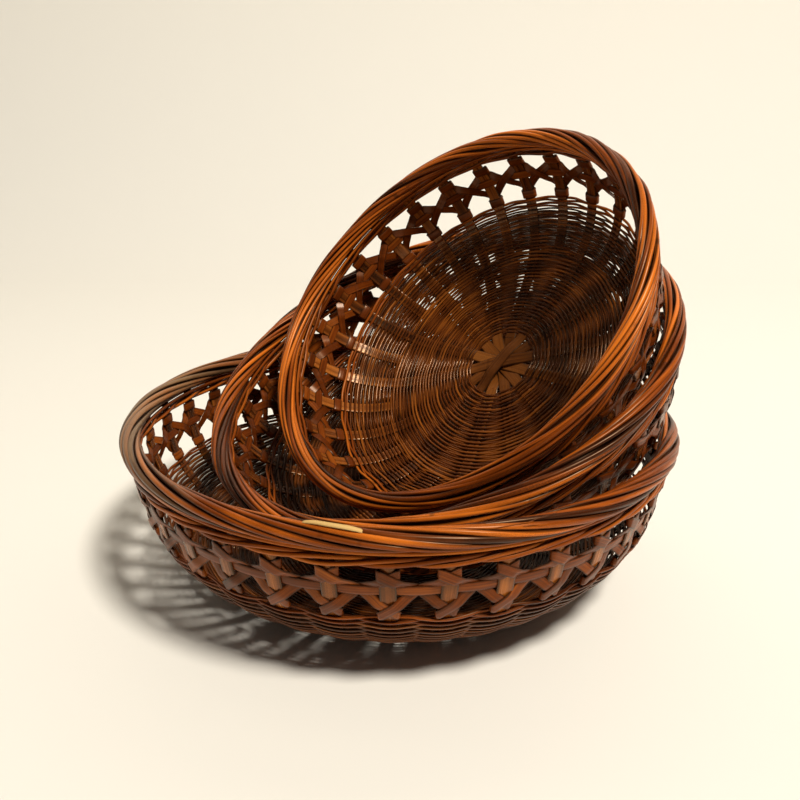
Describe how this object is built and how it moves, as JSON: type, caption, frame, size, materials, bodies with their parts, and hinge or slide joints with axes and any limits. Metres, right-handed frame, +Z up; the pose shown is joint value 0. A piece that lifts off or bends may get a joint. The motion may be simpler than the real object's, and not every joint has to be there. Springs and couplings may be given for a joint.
{
  "type": "nested wicker baskets",
  "caption": "Nest of round bamboo wicker baskets with woven bowl, openwork hexagonal band and twisted rope rim, the smaller ones tilted inside the largest; each lifts out.",
  "frame": {"origin": "centre of the large basket's underside, on the plane it stands on", "axes": "+Z up along the large basket's axis; the smaller baskets' open sides lean toward -X and -Y"},
  "size_m": [0.2968, 0.297, 0.2316],
  "materials": {
    "splint": "lacquered bamboo splint, satin",
    "weaver": "lacquered fine weaver, gloss",
    "stake": "lacquered bamboo strip, satin",
    "strip": "lacquered bamboo strip, gloss",
    "rod": "lacquered round rod, gloss",
    "rim_rod": "lacquered round rod, gloss"
  },
  "bodies": {
    "large_basket": {"large_splints": "splint", "large_base": "weaver", "large_wall": "weaver", "large_upper_rows": "weaver", "large_stakes_set": "stake", "large_hoop": "strip", "large_strip_a": "strip", "large_strip_b": "strip", "large_wale": "rod", "large_wale_inner": "rod", "large_rim_core": "rim_rod", "large_rim_strand_1": "rim_rod", "large_rim_strand_2": "rim_rod", "large_rim_strand_3": "rim_rod"},
    "medium_basket": {"medium_splints": "splint", "medium_base": "weaver", "medium_wall": "weaver", "medium_upper_rows": "weaver", "medium_stakes_set": "stake", "medium_hoop": "strip", "medium_strip_a": "strip", "medium_strip_b": "strip", "medium_wale": "rod", "medium_wale_inner": "rod", "medium_rim_core": "rim_rod", "medium_rim_strand_1": "rim_rod", "medium_rim_strand_2": "rim_rod", "medium_rim_strand_3": "rim_rod"},
    "small_basket": {"small_splints": "splint", "small_base": "weaver", "small_wall": "weaver", "small_upper_rows": "weaver", "small_stakes_set": "stake", "small_hoop": "strip", "small_strip_a": "strip", "small_strip_b": "strip", "small_wale": "rod", "small_wale_inner": "rod", "small_rim_core": "rim_rod", "small_rim_strand_1": "rim_rod", "small_rim_strand_2": "rim_rod", "small_rim_strand_3": "rim_rod"}
  },
  "joints": [
    {"name": "medium_lift", "type": "slide", "parent": "large_basket", "child": "medium_basket", "axis": [0, 0, 1], "range_m": [0, 0.12]},
    {"name": "small_lift", "type": "slide", "parent": "medium_basket", "child": "small_basket", "axis": [0, 0, 1], "range_m": [0, 0.16]}
  ]
}
